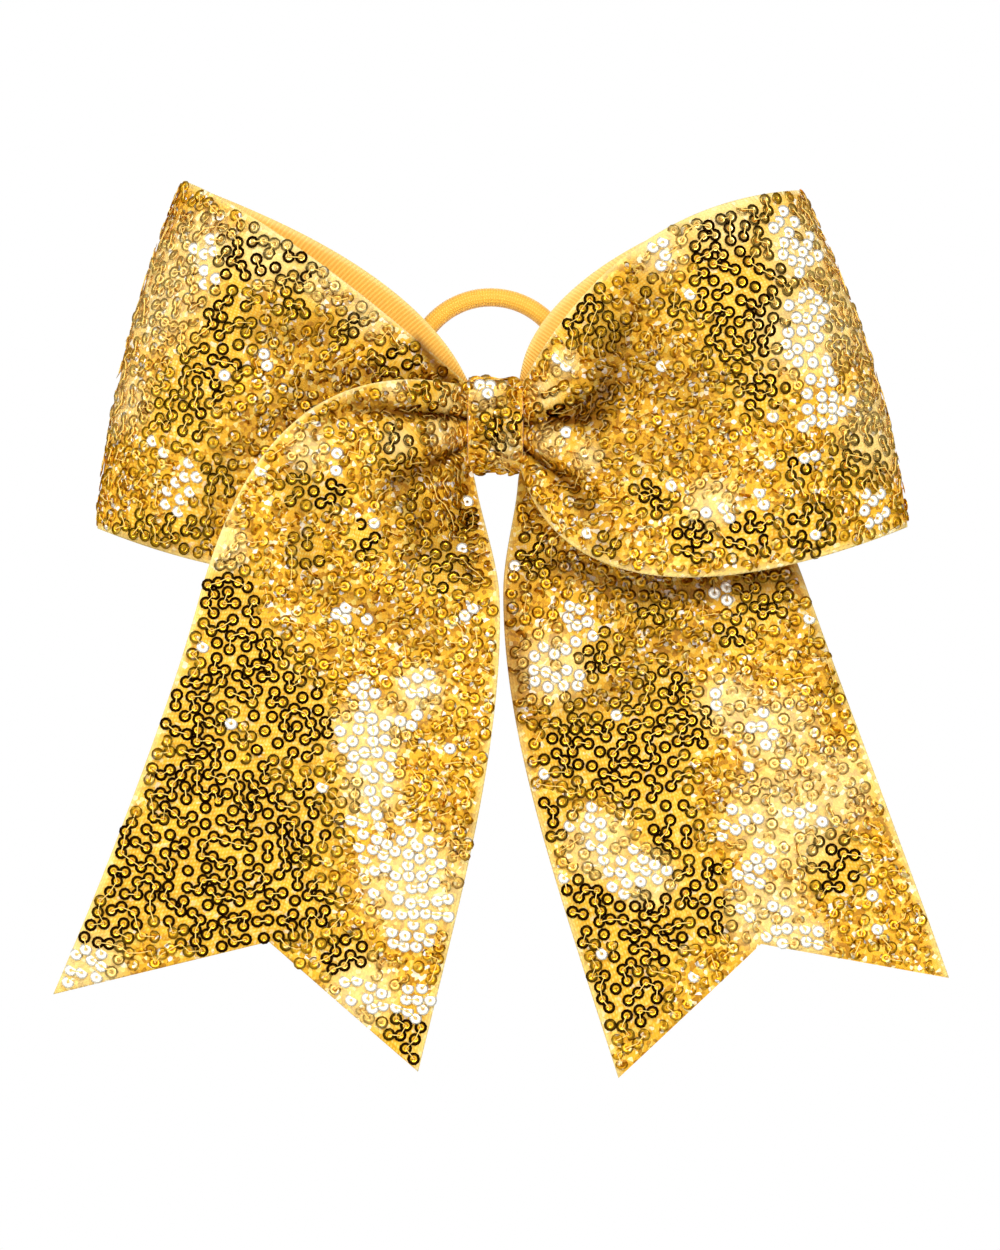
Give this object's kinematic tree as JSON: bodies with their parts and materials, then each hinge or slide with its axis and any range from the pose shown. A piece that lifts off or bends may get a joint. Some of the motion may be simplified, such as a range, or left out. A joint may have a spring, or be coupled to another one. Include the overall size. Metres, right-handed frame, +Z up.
{
  "type": "cheer hair bow",
  "caption": "Hair bow of sequinned fabric over grosgrain ribbon: two open loops, two hanging tails with notched ends, a wrapped knot and a round hair elastic behind it.",
  "frame": {"origin": "centre of the knot's flat back face, which lies against the hair", "axes": "-Y is the bow's front, +Z is up towards the elastic, +X is the right-hand loop seen from the front"},
  "size_m": [0.1914, 0.0343, 0.1926],
  "materials": {
    "sequin_net": "gold sequins on a knitted net",
    "grosgrain": "ribbed satin",
    "elastic_knit": "tubular knit",
    "elastic_rubber": "natural",
    "glue": "hot-melt glue",
    "thread": "sewing thread"
  },
  "bodies": {
    "knot": {"knot_facing": "sequin_net", "knot_lining": "grosgrain", "knot_glue": "glue", "waist_front_layer": "grosgrain", "waist_middle_layer": "grosgrain", "waist_rear_layer": "grosgrain", "cinch_thread": "thread", "left_lobe_facing": "sequin_net", "left_lobe_lining": "grosgrain", "right_lobe_facing": "sequin_net", "right_lobe_lining": "grosgrain"},
    "left_loop": {"left_loop_facing": "sequin_net", "left_loop_lining": "grosgrain"},
    "right_loop": {"right_loop_facing": "sequin_net", "right_loop_lining": "grosgrain"},
    "left_tail": {"left_tail_facing": "sequin_net", "left_tail_lining": "grosgrain"},
    "right_tail": {"right_tail_facing": "sequin_net", "right_tail_lining": "grosgrain"},
    "elastic": {"elastic_cover": "elastic_knit", "elastic_core": "elastic_rubber", "elastic_joint": "glue"}
  },
  "joints": [
    {"name": "elastic_swing", "type": "hinge", "parent": "knot", "child": "elastic", "pos_m": [-0.001, -0.00325, -0.00352], "axis": [-1, 0, 0], "range_deg": [0, 100], "stiffness_Nm_per_rad": 0.0001},
    {"name": "left_tail_swing", "type": "hinge", "parent": "knot", "child": "left_tail", "pos_m": [-0.031, -0.03, -0.037], "axis": [1, 0, 0], "range_deg": [-25, 25], "stiffness_Nm_per_rad": 0.002},
    {"name": "right_tail_swing", "type": "hinge", "parent": "knot", "child": "right_tail", "pos_m": [0.0345, -0.02, -0.037], "axis": [1, 0, 0], "range_deg": [-25, 25], "stiffness_Nm_per_rad": 0.002},
    {"name": "left_loop_flap", "type": "hinge", "parent": "knot", "child": "left_loop", "pos_m": [-0.0072, -0.01, 0], "axis": [0, 0, -1], "range_deg": [0, 12], "stiffness_Nm_per_rad": 0.008},
    {"name": "right_loop_flap", "type": "hinge", "parent": "knot", "child": "right_loop", "pos_m": [0.0072, -0.01, 0], "axis": [0, 0, -1], "range_deg": [0, 12], "stiffness_Nm_per_rad": 0.008}
  ]
}
